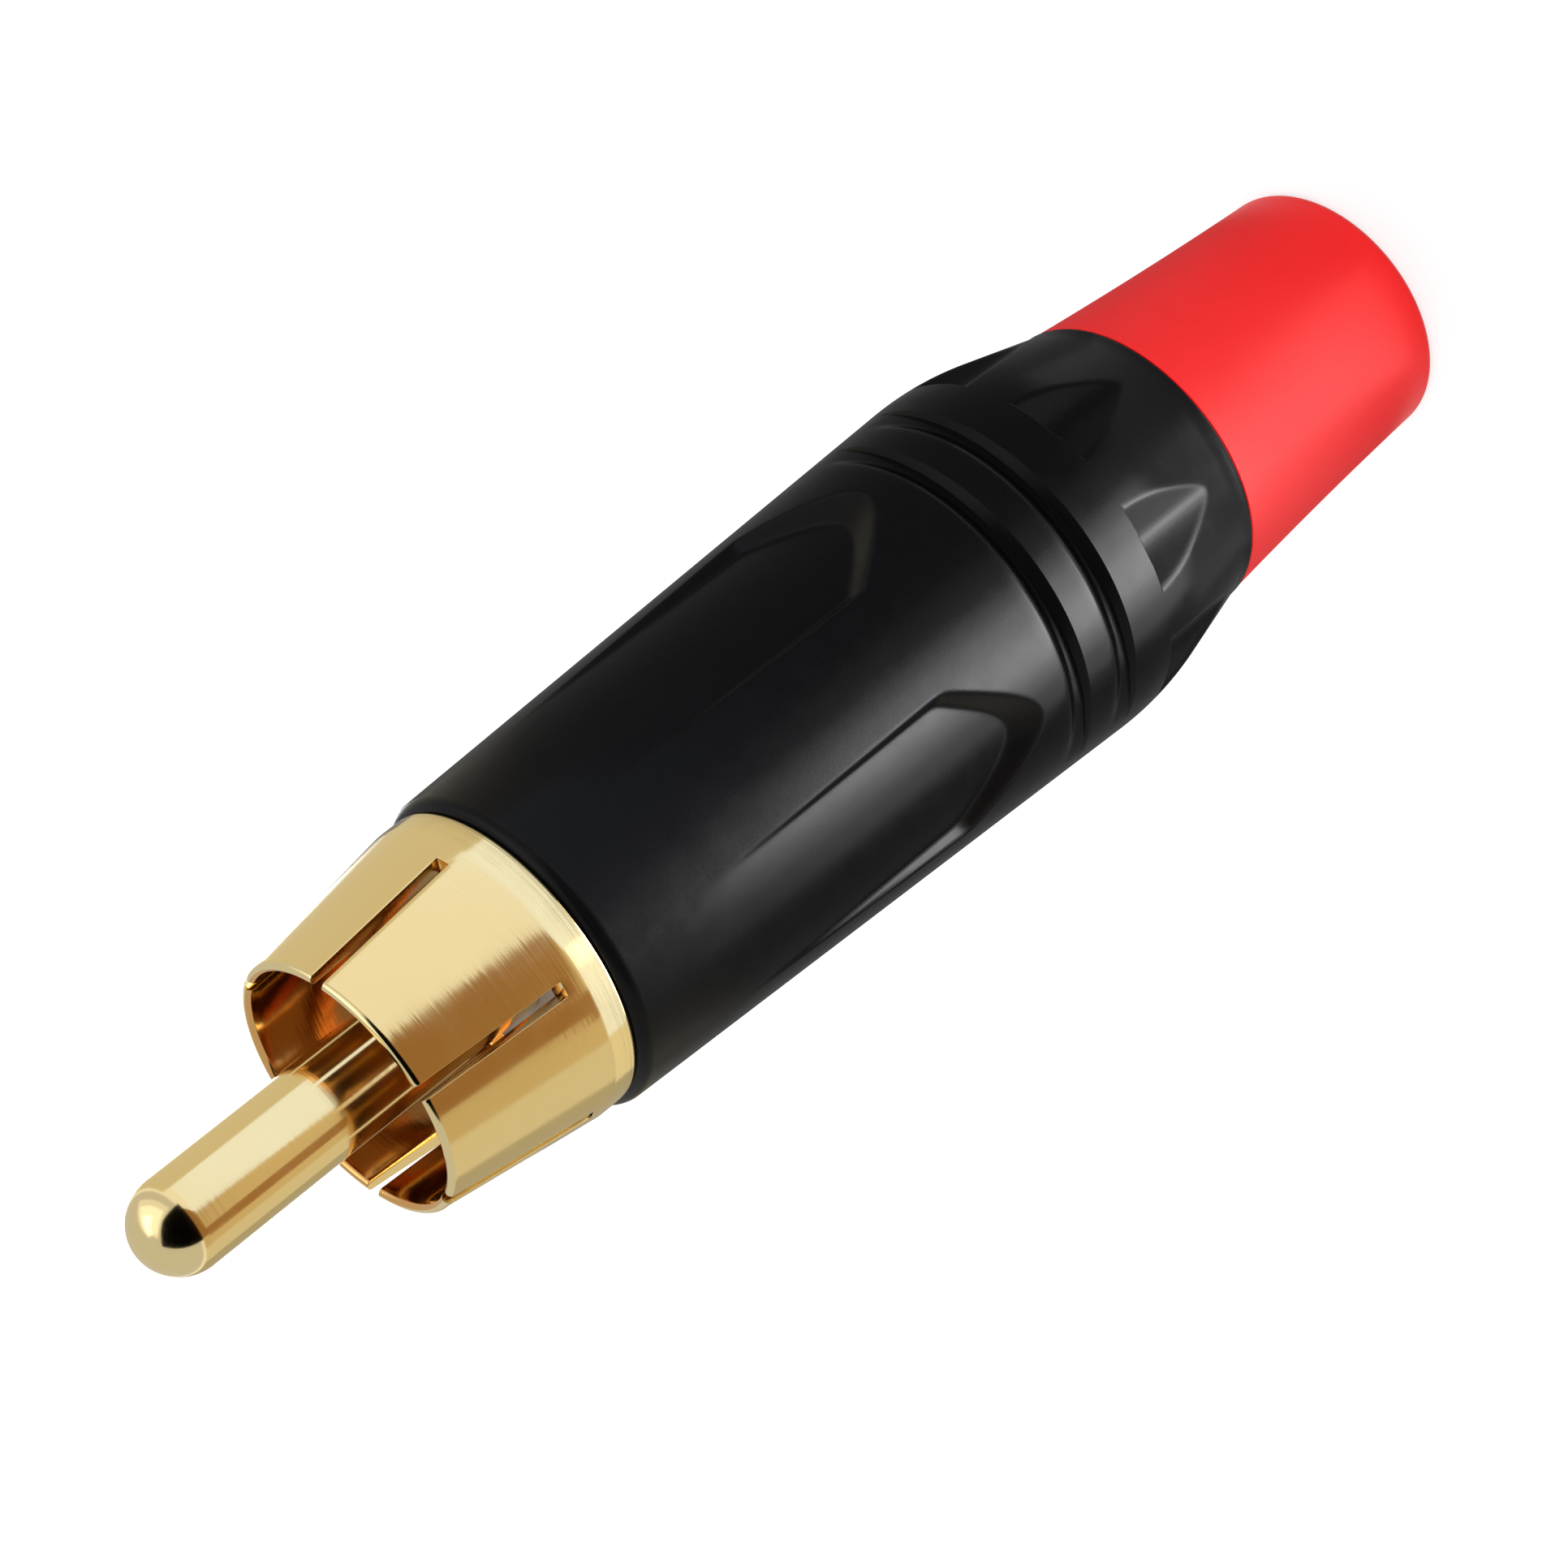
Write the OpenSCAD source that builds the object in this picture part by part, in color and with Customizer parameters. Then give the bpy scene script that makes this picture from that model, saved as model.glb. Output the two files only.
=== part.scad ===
// Cable phono plug: centre pin and slotted earth sleeve, screwed into a die-cast shell with a coloured boot.
// It stands on the boot's end face. The plug's axis is +Z, and the pin's tip is at the top.

/* [Pin] */
// Diameter of the centre pin
pin_d = 3.2; // [3.0:0.05:3.4]
// Length of the pin beyond the sleeve's mouth
pin_reach = 8.2; // [6:0.1:10]
// Diameter of the pin's shank inside the insulator
shank_d = 2.6; // [2.2:0.1:2.8]
// Length of the solder cup behind the insulator
cup_len = 4.5; // [3:0.1:5]
// Depth of the solder cup
cup_depth = 3.7; // [2:0.1:4]
// Wall of the solder cup
cup_wall = 0.35; // [0.25:0.05:0.5]
// Solid length left between the cup's side opening and its bottom
cup_stop = 0.6; // [0.3:0.1:1]

/* [Insulator] */
// Diameter of the flange that shows in the socket's floor
flange_d = 7.2; // [6.8:0.1:7.6]
// Thickness of the flange
flange_t = 0.6; // [0.4:0.05:0.8]
// Diameter of the core inside the barrel
core_d = 6.0; // [5.4:0.1:6.4]
// Diameter of the neck that passes through the tag
neck_d = 4.8; // [4.2:0.1:5]
// Thickness of the head formed over the tag
head_t = 0.8; // [0.5:0.1:1.2]

/* [Sleeve] */
// Length of the sleeve in front of the shell
sleeve_len = 6.9; // [6.4:0.1:8]
// Outer diameter of the plain band where the sleeve seats on the shell
seat_d = 10.8; // [10.6:0.02:11]
// Width of that band
band_w = 0.9; // [0.6:0.05:1.2]
// Outer diameter of the sleeve at its mouth
mouth_d = 9.2; // [9.1:0.02:9.6]
// Thickness of the petals at the mouth
petal_wall = 0.38; // [0.3:0.01:0.5]
// Thickness of the sleeve at the bottom of its socket
root_wall = 0.8; // [0.7:0.05:1]
// Height of the socket's floor above the seat
floor_t = 0.3; // [0.2:0.05:0.6]
// Number of slots between the petals
slot_count = 6; // [4:1:8]
// Width of each slot
slot_w = 0.5; // [0.3:0.05:0.8]
// Length of the slots from the mouth
slot_len = 5.35; // [4:0.05:5.6]
// Angle of the first slot
slot_turn = 11.6; // [0:0.2:60]
// Outer diameter of the thread that holds the shell
thread_d = 9.5; // [9.2:0.1:9.8]
// Length of the threaded barrel
thread_len = 5.7; // [5:0.1:6]
// Chamfer at the ends of the thread
thread_chamfer = 0.25; // [0.1:0.05:0.3]
// Width of the undercut between the thread and the seat
relief_w = 0.6; // [0.3:0.1:1]
// Depth of the undercut
relief_depth = 0.35; // [0.2:0.05:0.5]

/* [Tag] */
// Thickness of the earth tag
tag_t = 0.5; // [0.4:0.05:0.6]
// Length of the tag's tongue behind its ring
tag_len = 9; // [7:0.1:10]
// Half the angle that the tongue spans
tag_spread = 28; // [20:1:32]
// Distance of the tag's edge inside the thread
tag_inset = 0.35; // [0.3:0.05:0.6]
// Diameter of the solder hole
tag_hole_d = 1.4; // [1:0.1:1.8]
// Distance of the solder hole from the tongue's end
tag_hole_back = 2.5; // [1.5:0.1:4]

/* [Shell] */
// Length of the shell
shell_len = 28.86; // [28:0.02:32]
// Diameter of the shell's cone at its front face
front_d = 11.33; // [11.23:0.02:11.83]
// Draft of the shell's long cone
draft = 2.18; // [1.8:0.02:2.5]
// Length from the rear rim to the widest part, where the shoulder starts
shoulder_len = 6.64; // [6.4:0.02:7]
// Length from the rear rim to where the shoulder runs into the taper
taper_len = 3.33; // [3:0.01:3.6]
// Angle of the taper behind the shoulder
taper = 13.9; // [12:0.1:14.4]
// Length of the hollow blend at the rear rim
rim_blend = 0.71; // [0.4:0.01:0.8]
// Radius of the hollow blend at the rear rim
rim_blend_r = 3.6; // [3:0.1:6]
// Radius of the front edge
front_edge_r = 0.45; // [0.2:0.05:0.5]
// Thickness of the rib between the chuck and the boot
rib_t = 0.6; // [0.4:0.1:1]
// Height of the rib inside the bore for the boot
rib_step = 0.55; // [0.4:0.05:0.6]
// Length of the cone that closes the chuck
closing_len = 3.2; // [2.6:0.1:4]
// Turn of the flats, dimples and grooves about the axis when the shell is screwed home
cast_turn = 1.2; // [0:0.1:45]

/* [Finger flats] */
// Number of finger flats
flat_count = 4; // [2:1:4]
// Distance from the axis to the middle of a flat's bowed floor
flat_mid = 5.74; // [5.7:0.01:5.8]
// Radius of the floor's bow
flat_bow_r = 8; // [7:0.5:20]
// Half width of a flat's floor
flat_half_w = 2.37; // [2:0.01:2.5]
// Widening of a flat's sides for each unit of height
flat_slope = 1.9; // [1:0.1:3]
// Distance from the shell's front face to the middle of a flat's arched end
flat_arch = 14.35; // [12:0.05:14.6]
// Radius of the arched end
flat_arch_r = 2.74; // [2.4:0.02:2.9]
// Length of the ramp up to the arched end
flat_ramp = 1; // [0.6:0.05:1.4]

/* [Dimples] */
// Number of dimples round the shoulder
dimple_count = 8; // [4:1:8]
// Length from the rear rim to the step at a dimple's front end
dimple_step = 5.41; // [5:0.01:5.6]
// Length from the rear rim to where a dimple leaves the taper
dimple_start = 1.7; // [1.4:0.05:2]
// Radius of a dimple's round floor
dimple_r = 2.1; // [1.8:0.05:2.4]

/* [Grooves] */
// Length from the rear rim to the sharp edge of the rear groove
groove_start = 7.18; // [7:0.02:7.4]
// Distance between the two grooves
groove_pitch = 2.11; // [1.8:0.01:2.2]
// Width of a groove at the surface
groove_w = 1.12; // [0.9:0.02:1.3]
// Depth of the grooves at their middle
groove_depth = 0.55; // [0.3:0.01:0.6]
// Angle from the middle of a groove to where it fades out
groove_fade = 70; // [60:1:75]
// Radius of the rounded front lip of a groove
groove_lip_r = 0.8; // [0.7:0.05:0.9]

/* [Boot] */
// Length of the boot behind the shell
boot_len = 10.69; // [9:0.01:14]
// Diameter of the boot near its end
boot_end_d = 9.28; // [9.1:0.02:9.6]
// Radius of the hollow flare along the boot
boot_flare_r = 237; // [150:1:400]
// Radius of the boot's end edge
boot_edge_r = 0.45; // [0.2:0.05:0.5]
// Bore of the boot for the cable
cable_bore = 7.0; // [6.6:0.1:7.2]
// Chamfer at the mouth of the bore
mouth_chamfer = 0.3; // [0.1:0.05:0.4]
// Distance of the boot's front edge inside the shell's rim
boot_inset = 0.03; // [0:0.01:0.1]
// Length of the spigot that enters the shell
spigot_len = 4.2; // [3.8:0.1:5]
// Wall of the spigot
spigot_wall = 1.05; // [0.9:0.05:1.1]
// Distance from the spigot's end to the middle of its snap bead
snap_back = 1.5; // [1.2:0.1:2]
// Half width of the snap bead
bead_half_w = 0.4; // [0.3:0.05:0.5]
// Height of the snap bead
bead_rise = 0.17; // [0.1:0.01:0.2]
// Number of slits in the spigot
slit_count = 4; // [2:1:6]
// Width of the slits
slit_w = 0.8; // [0.5:0.1:1]
// Length of the slits
slit_len = 3.3; // [2.5:0.1:3.6]

/* [Chuck] */
// Bore between the chuck's fingers
chuck_bore = 6.8; // [6.6:0.1:7]
// Number of fingers that grip the cable
finger_count = 4; // [2:1:6]
// Width of the slots between the fingers
finger_slot_w = 0.8; // [0.5:0.1:1.2]
// Length of the shield round the soldered joints
shield_len = 9.4; // [8:0.1:10]
// Thickness of the shield
shield_wall = 0.7; // [0.5:0.05:0.8]
// Half the angle of the shield's opening for the tag
shield_gap = 40; // [36:1:60]
// Length of the ring between the shield and the fingers
ring_len = 2.5; // [2:0.1:3]
// Height of the teeth inside the fingers
tooth_rise = 0.2; // [0.1:0.05:0.25]
// Distance between the teeth
tooth_pitch = 0.8; // [0.6:0.1:1]
// Number of teeth along a finger
tooth_count = 4; // [2:1:5]

/* [Clearances] */
// Running clearance round the thread and the boot's spigot
run_gap = 0.05; // [0.03:0.01:0.08]
// Clearance between pieces pressed together
press_gap = 0.02; // [0.01:0.01:0.03]
// Gap at the seams between the boot, the shell and the sleeve
seam_gap = 0.05; // [0.03:0.01:0.1]
// Clearance between the chuck's fingers and the cone that closes them
cone_gap = 0.1; // [0.06:0.01:0.15]
// Clearance between the chuck and the shell's bore
chuck_gap = 0.2; // [0.15:0.05:0.3]
// Clearance at the ends of the spigot, its bead and the fingers
end_gap = 0.15; // [0.1:0.05:0.2]

/* [Hidden] */
$fn = 96;
// Overlap of a cutter past the surface that it cuts
over = 1;

// Stations along the axis, from the boot's end face
rim_z = boot_len;
front_z = rim_z + shell_len;
seat_z = front_z + seam_gap;
socket_z = seat_z + floor_t;
mouth_z = front_z + sleeve_len;
tip_z = mouth_z + pin_reach;
barrel_z = seat_z - thread_len;
tag_z = barrel_z - tag_t;
head_z = tag_z - head_t;

// Radii of the contact pieces
pin_r = pin_d / 2;
shank_r = shank_d / 2;
core_r = core_d / 2;
neck_r = neck_d / 2;
flange_r = flange_d / 2;
thread_r = thread_d / 2;
seat_r = seat_d / 2;
mouth_r = mouth_d / 2;
tag_r = thread_r - tag_inset;

// Shell's outer line: long cone, shoulder, taper and rim blend
shoulder_z = rim_z + shoulder_len;
front_r = front_d / 2;
taper_z = rim_z + taper_len;
max_r = cone_r(shoulder_z);
shoulder_r = (shoulder_z - taper_z) / (sin(draft) + sin(taper));
shoulder_c = [max_r - shoulder_r * cos(draft), shoulder_z - shoulder_r * sin(draft)];
taper_end_z = rim_z + rim_blend;
taper_end = [taper_r(taper_end_z), taper_end_z];
blend_c = taper_end + rim_blend_r * [cos(taper), -sin(taper)];
rim_r = blend_c[0] - sqrt(rim_blend_r ^ 2 - (rim_z - blend_c[1]) ^ 2);

// Shell's inside, from the rear: bore for the boot, rib, closing cone and the long threaded bore
cable_r = cable_bore / 2;
spigot_r = cable_r + spigot_wall;
spigot_z = rim_z + spigot_len;
snap_z = spigot_z - snap_back;
boot_bore_r = spigot_r + run_gap;
rib_r = boot_bore_r - rib_step;
rib_z = spigot_z + end_gap;
closing_z = rib_z + rib_t;
bore_r = thread_r + run_gap;
closing_slope = (bore_r - rib_r) / closing_len;

// Boot
boot_top_z = rim_z - seam_gap;
boot_end_r = boot_end_d / 2;

// Chuck
chuck_r = bore_r - chuck_gap;
chuck_bore_r = chuck_bore / 2;
ring_z = tag_z - shield_len;
finger_root_z = ring_z - ring_len;
finger_end_z = closing_z + end_gap;

// Radius of the shell's long cone at a height
function cone_r(z) = front_r + (front_z - z) * tan(draft);

// Radius of the shell's taper at a height
function taper_r(z) = shoulder_c[0] + shoulder_r * cos(taper) - (taper_z - z) * tan(taper);

// Height at which the closing cone inside the shell has a radius
function closing_height(r) = closing_z + (r - rib_r) / closing_slope;

// Repeats a shape at equal turns about the axis
module turns(count, start = 0) {
    for (i = [0 : count - 1])
        rotate(start + i * 360 / count) children();
}

// Turned pin with a round tip, a thinner shank, and a solder cup open at its side
module centre_pin() {
    cup_z = head_z - cup_len;
    cup_r = shank_r - cup_wall;
    color("goldenrod")
        difference() {
            union() {
                translate([0, 0, tip_z - pin_r]) sphere(r = pin_r);
                translate([0, 0, socket_z]) cylinder(r = pin_r, h = tip_z - pin_r - socket_z);
                translate([0, 0, cup_z]) cylinder(r = shank_r, h = socket_z - cup_z);
            }
            translate([0, 0, cup_z - over]) cylinder(r = cup_r, h = cup_depth + over);
            translate([-shank_d, 0, cup_z - over]) cube([2 * shank_d, shank_d, cup_depth - cup_stop + over]);
        }
}

// Insulator: flange in the socket's floor, core in the barrel, and a head formed over the tag
module pin_insulator() {
    hole_r = shank_r + press_gap;
    color([0.9, 0.89, 0.86])
        rotate_extrude()
            polygon([
                [hole_r, head_z],
                [core_r, head_z],
                [core_r, tag_z],
                [neck_r, tag_z],
                [neck_r, barrel_z],
                [core_r, barrel_z],
                [core_r, socket_z - flange_t],
                [flange_r, socket_z - flange_t],
                [flange_r, socket_z],
                [hole_r, socket_z]
            ]);
}

// Earth sleeve: slotted petals in front and a threaded barrel behind, turned from one bar
module ground_sleeve() {
    lip_r = petal_wall / 2;
    lip_z = mouth_z - lip_r;
    hole_r = core_r + press_gap;
    pocket_r = flange_r + press_gap;
    relief_r = thread_r - relief_depth;
    color("goldenrod")
        difference() {
            rotate_extrude() {
                polygon([
                    [hole_r, barrel_z],
                    [thread_r - thread_chamfer, barrel_z],
                    [thread_r, barrel_z + thread_chamfer],
                    [thread_r, seat_z - relief_w],
                    [relief_r, seat_z - relief_w],
                    [relief_r, seat_z],
                    [seat_r, seat_z],
                    [seat_r, seat_z + band_w],
                    [mouth_r, lip_z],
                    [mouth_r - petal_wall, lip_z],
                    [seat_r - root_wall, socket_z],
                    [pocket_r, socket_z],
                    [pocket_r, socket_z - flange_t],
                    [hole_r, socket_z - flange_t]
                ]);
                translate([mouth_r - lip_r, lip_z]) circle(r = lip_r);
            }
            turns(slot_count, slot_turn)
                translate([pocket_r, -slot_w / 2, mouth_z - slot_len])
                    cube([seat_r, slot_w, slot_len + over]);
        }
}

// Earth tag: a ring behind the barrel with a long curved tongue and a solder hole
module ground_tag() {
    end_z = tag_z - tag_len;
    color("goldenrod")
        difference() {
            union() {
                difference() {
                    translate([0, 0, tag_z]) cylinder(r = tag_r, h = tag_t);
                    translate([0, 0, tag_z - over]) cylinder(r = neck_r + press_gap, h = tag_t + 2 * over);
                }
                translate([0, 0, end_z])
                    rotate(90 - tag_spread)
                        rotate_extrude(angle = 2 * tag_spread)
                            translate([tag_r - tag_t, 0]) square([tag_t, barrel_z - end_z]);
            }
            translate([0, 0, end_z + tag_hole_back])
                rotate([-90, 0, 0]) cylinder(d = tag_hole_d, h = tag_r + over);
        }
}

// Chuck: an open shield round the joints, a ring, and split fingers with teeth that grip the cable
module cable_chuck() {
    tooth_z = finger_end_z + tooth_pitch / 2;
    color([0.09, 0.09, 0.1]) {
        translate([0, 0, finger_root_z])
            rotate(90 + shield_gap)
                rotate_extrude(angle = 360 - 2 * shield_gap)
                    translate([chuck_r - shield_wall, 0]) square([shield_wall, ring_len + shield_len]);
        difference() {
            rotate_extrude()
                polygon([
                    [chuck_r, ring_z],
                    [chuck_bore_r, ring_z],
                    for (i = [tooth_count - 1 : -1 : 0])
                        each [
                            [chuck_bore_r, tooth_z + (i + 0.5) * tooth_pitch],
                            [chuck_bore_r - tooth_rise, tooth_z + i * tooth_pitch],
                            [chuck_bore_r, tooth_z + i * tooth_pitch]
                        ],
                    [chuck_bore_r, finger_end_z],
                    [rib_r + (finger_end_z - closing_z) * closing_slope - cone_gap, finger_end_z],
                    [chuck_r, closing_height(chuck_r + cone_gap)]
                ]);
            turns(finger_count, 45)
                translate([0, -finger_slot_w / 2, finger_end_z - over])
                    cube([chuck_r + over, finger_slot_w, finger_root_z - finger_end_z + over]);
        }
    }
}

// Quarter of a round edge, filled to the axis, with its widest point at the bottom
module round_edge(r, edge_r) {
    square([r - edge_r, edge_r]);
    intersection() {
        translate([r - edge_r, 0]) circle(r = edge_r);
        square([r, edge_r]);
    }
}

// Solid inside the shell's outer line, before any cut
module shell_outline() {
    edge_z = front_z - front_edge_r;
    rotate_extrude() {
        translate([0, edge_z]) round_edge(cone_r(edge_z), front_edge_r);
        polygon([[0, shoulder_z], [max_r, shoulder_z], [cone_r(edge_z), edge_z], [0, edge_z]]);
        intersection() {
            translate(shoulder_c) circle(r = shoulder_r);
            translate([0, taper_z]) square([max_r + over, shoulder_z - taper_z]);
        }
        polygon([[0, taper_end_z], taper_end, [taper_r(taper_z), taper_z], [0, taper_z]]);
        difference() {
            translate([0, rim_z]) square([blend_c[0], rim_blend]);
            translate(blend_c) circle(r = rim_blend_r);
        }
    }
}

// Space inside the shell
module shell_inside() {
    snap_r = spigot_r + bead_rise + run_gap;
    snap_half_w = bead_half_w + end_gap;
    rotate_extrude()
        polygon([
            [0, rim_z - over],
            [boot_bore_r, rim_z - over],
            [boot_bore_r, snap_z - snap_half_w],
            [snap_r, snap_z - snap_half_w],
            [snap_r, snap_z + snap_half_w],
            [boot_bore_r, snap_z + snap_half_w],
            [boot_bore_r, rib_z],
            [rib_r, rib_z],
            [rib_r, closing_z],
            [bore_r, closing_height(bore_r)],
            [bore_r, front_z - thread_chamfer],
            [bore_r + thread_chamfer, front_z],
            [bore_r + thread_chamfer, front_z + over],
            [0, front_z + over]
        ]);
}

// Finger flat: a bowed floor between sloping sides, with a ramp up to its arched rear end
module finger_flat() {
    arch_z = front_z - flat_arch;
    end_z = arch_z - flat_arch_r;
    ramp_rise = cone_r(end_z) - flat_mid;
    bow_x = flat_mid - flat_bow_r;
    side_x = bow_x + sqrt(flat_bow_r ^ 2 - flat_half_w ^ 2);
    top_x = max_r + over;
    top_half_w = flat_half_w + flat_slope * (top_x - side_x);
    difference() {
        intersection() {
            translate([0, 0, end_z])
                linear_extrude(height = front_z + over - end_z)
                    polygon([
                        [side_x, -flat_half_w],
                        [top_x, -top_half_w],
                        [top_x, top_half_w],
                        [side_x, flat_half_w]
                    ]);
            union() {
                translate([0, 0, arch_z]) rotate([0, 90, 0]) cylinder(r = flat_arch_r, h = top_x + over);
                translate([0, -top_x, arch_z]) cube([top_x + over, 2 * top_x, flat_arch + 2 * over]);
            }
        }
        translate([bow_x, 0, end_z - over]) cylinder(r = flat_bow_r, h = front_z - end_z + 3 * over);
        rotate_extrude()
            polygon([
                [0, end_z - flat_ramp],
                [flat_mid + 2 * ramp_rise, end_z - flat_ramp],
                [flat_mid, end_z + flat_ramp],
                [0, end_z + flat_ramp]
            ]);
    }
}

// Dimple: a round floor that leaves the taper in a point and stops at a sharp step
module dimple() {
    translate([taper_r(rim_z + dimple_start) + dimple_r, 0, rim_z])
        cylinder(r = dimple_r, h = dimple_step);
}

// Groove across one side of the shell: deepest at its middle, faded out at its ends, with a rounded front lip
module groove(start_z) {
    surface_r = cone_r(start_z + groove_w / 2);
    shift = groove_depth / (1 - cos(groove_fade));
    difference() {
        rotate_extrude()
            difference() {
                translate([surface_r - groove_lip_r, start_z]) square([groove_lip_r + over, groove_w]);
                translate([surface_r - groove_lip_r, start_z + groove_w]) circle(r = groove_lip_r);
            }
        translate([0, shift, start_z - over])
            cylinder(r = surface_r - groove_depth + shift, h = groove_w + 2 * over);
    }
}

// Die-cast shell
module shell() {
    color([0.05, 0.05, 0.06])
        difference() {
            shell_outline();
            shell_inside();
            turns(flat_count, 45 + cast_turn) finger_flat();
            turns(dimple_count, 180 / dimple_count + cast_turn) dimple();
            for (i = [0, 1])
                turns(2, cast_turn) groove(rim_z + groove_start + i * groove_pitch);
        }
}

// Outer line of the boot: a hollow flare from the rounded end edge to the seam
module boot_outline() {
    front = [rim_r - boot_inset, boot_top_z];
    back = [boot_end_r, boot_edge_r];
    chord = front - back;
    flare_reach = sqrt(boot_flare_r ^ 2 - (norm(chord) / 2) ^ 2);
    flare_c = (front + back) / 2 + flare_reach * [chord[1], -chord[0]] / norm(chord);
    difference() {
        translate([0, boot_edge_r]) square([rim_r, boot_top_z - boot_edge_r]);
        translate(flare_c) circle(r = boot_flare_r, $fn = 720);
    }
    translate([0, boot_edge_r]) mirror([0, 1]) round_edge(boot_end_r, boot_edge_r);
}

// Boot: flared tail with a split spigot that snaps into the shell and lets it turn
module boot() {
    bead_flat = bead_half_w - bead_rise;
    color([0.9, 0.1, 0.1])
        difference() {
            rotate_extrude()
                difference() {
                    union() {
                        boot_outline();
                        polygon([
                            [0, boot_top_z - over],
                            [spigot_r, boot_top_z - over],
                            [spigot_r, snap_z - bead_half_w],
                            [spigot_r + bead_rise, snap_z - bead_flat],
                            [spigot_r + bead_rise, snap_z + bead_flat],
                            [spigot_r, snap_z + bead_half_w],
                            [spigot_r, spigot_z - mouth_chamfer],
                            [spigot_r - mouth_chamfer, spigot_z],
                            [0, spigot_z]
                        ]);
                    }
                    translate([0, -over]) square([cable_r, spigot_z + 2 * over]);
                    polygon([
                        [0, 0],
                        [cable_r + mouth_chamfer, 0],
                        [cable_r, mouth_chamfer],
                        [0, mouth_chamfer]
                    ]);
                }
            turns(slit_count)
                translate([0, -slit_w / 2, spigot_z - slit_len]) cube([rim_r, slit_w, slit_len + over]);
        }
}

centre_pin();
pin_insulator();
ground_sleeve();
ground_tag();
cable_chuck();
shell();
boot();
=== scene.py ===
import math

import bmesh
import bpy
import numpy as np
from mathutils import Matrix, Quaternion, Vector


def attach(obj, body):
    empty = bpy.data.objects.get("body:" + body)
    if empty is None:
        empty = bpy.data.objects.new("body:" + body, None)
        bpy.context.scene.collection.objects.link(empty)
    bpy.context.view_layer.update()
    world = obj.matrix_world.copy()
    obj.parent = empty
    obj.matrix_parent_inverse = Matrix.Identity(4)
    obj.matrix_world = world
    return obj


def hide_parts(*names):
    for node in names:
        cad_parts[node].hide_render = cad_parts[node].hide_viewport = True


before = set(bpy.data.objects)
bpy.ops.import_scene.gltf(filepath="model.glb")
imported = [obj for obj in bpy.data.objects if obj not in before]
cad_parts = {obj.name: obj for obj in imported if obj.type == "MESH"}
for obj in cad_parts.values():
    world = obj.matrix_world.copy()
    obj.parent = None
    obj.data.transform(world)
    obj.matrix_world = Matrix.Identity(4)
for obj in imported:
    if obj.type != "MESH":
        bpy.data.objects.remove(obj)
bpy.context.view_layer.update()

# All sizes below are in millimetres. Meshes are built in millimetres and scaled to metres at the end.
MM = 0.001
TAU = 2 * math.pi

# Stations along the axis, from the boot's end face
RIM_Z = 10.69
FRONT_Z = 39.55
SEAM_GAP = 0.05
SEAT_Z = FRONT_Z + SEAM_GAP
SOCKET_Z = SEAT_Z + 0.3
MOUTH_Z = FRONT_Z + 6.9
TIP_Z = MOUTH_Z + 8.2
BARREL_Z = SEAT_Z - 5.7
HEAD_Z = BARREL_Z - 1.3
CUP_Z = HEAD_Z - 4.5


# Mesh helpers

def smooth_min(a, b, width):
    """The lower of two heights, with the edge between them rounded over a height of width."""
    share = np.clip(0.5 + 0.5 * (b - a) / width, 0, 1)
    return b + (a - b) * share - width * share * (1 - share)


def smooth_max(a, b, width):
    """The higher of two heights, with the corner between them filled."""
    return -smooth_min(-a, -b, width)


def arc(centre, radius, start, end, steps):
    """Points of an arc in the half plane (r, z), angles in degrees."""
    angles = np.radians(np.linspace(start, end, steps + 1))
    return [(centre[0] + radius * math.cos(a), centre[1] + radius * math.sin(a)) for a in angles]


def new_object(name, mesh):
    piece = bpy.data.objects.new(name, mesh)
    bpy.context.scene.collection.objects.link(piece)
    return piece


def mesh_piece(name, points, faces):
    """A mesh object from points in millimetres, smooth all over."""
    mesh = bpy.data.meshes.new(name)
    mesh.from_pydata([tuple(p) for p in points], [], faces)
    mesh.validate()
    mesh.shade_smooth()
    return new_object(name, mesh)


def tidy_normals(piece):
    """Turns every face outwards and drops doubled points."""
    work = bmesh.new()
    work.from_mesh(piece.data)
    bmesh.ops.remove_doubles(work, verts=work.verts, dist=1e-4)
    bmesh.ops.recalc_face_normals(work, faces=work.faces)
    work.to_mesh(piece.data)
    work.free()


def apply_modifiers(piece):
    """Puts the result of the modifiers into the mesh."""
    bpy.context.view_layer.update()
    graph = bpy.context.evaluated_depsgraph_get()
    mesh = bpy.data.meshes.new_from_object(piece.evaluated_get(graph))
    piece.modifiers.clear()
    piece.data = mesh


def to_metres(piece):
    piece.data.transform(Matrix.Scale(MM, 4))
    piece.data.update()


def ring_faces(rows, columns, close_rows):
    """Quads of a grid of rings, with the last ring joined to the first where close_rows is set."""
    faces = []
    for i in range(rows if close_rows else rows - 1):
        a = i * columns
        b = (i + 1) % rows * columns
        for j in range(columns):
            k = (j + 1) % columns
            faces.append((a + j, a + k, b + k, b + j))
    return faces


def lathe(name, line, columns):
    """A ring-shaped solid turned from a closed line of (r, z)."""
    angles = np.arange(columns) * TAU / columns
    points = [(r * math.cos(a), r * math.sin(a), z) for r, z in line for a in angles]
    piece = mesh_piece(name, points, ring_faces(len(line), columns, True))
    tidy_normals(piece)
    return piece


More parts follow.
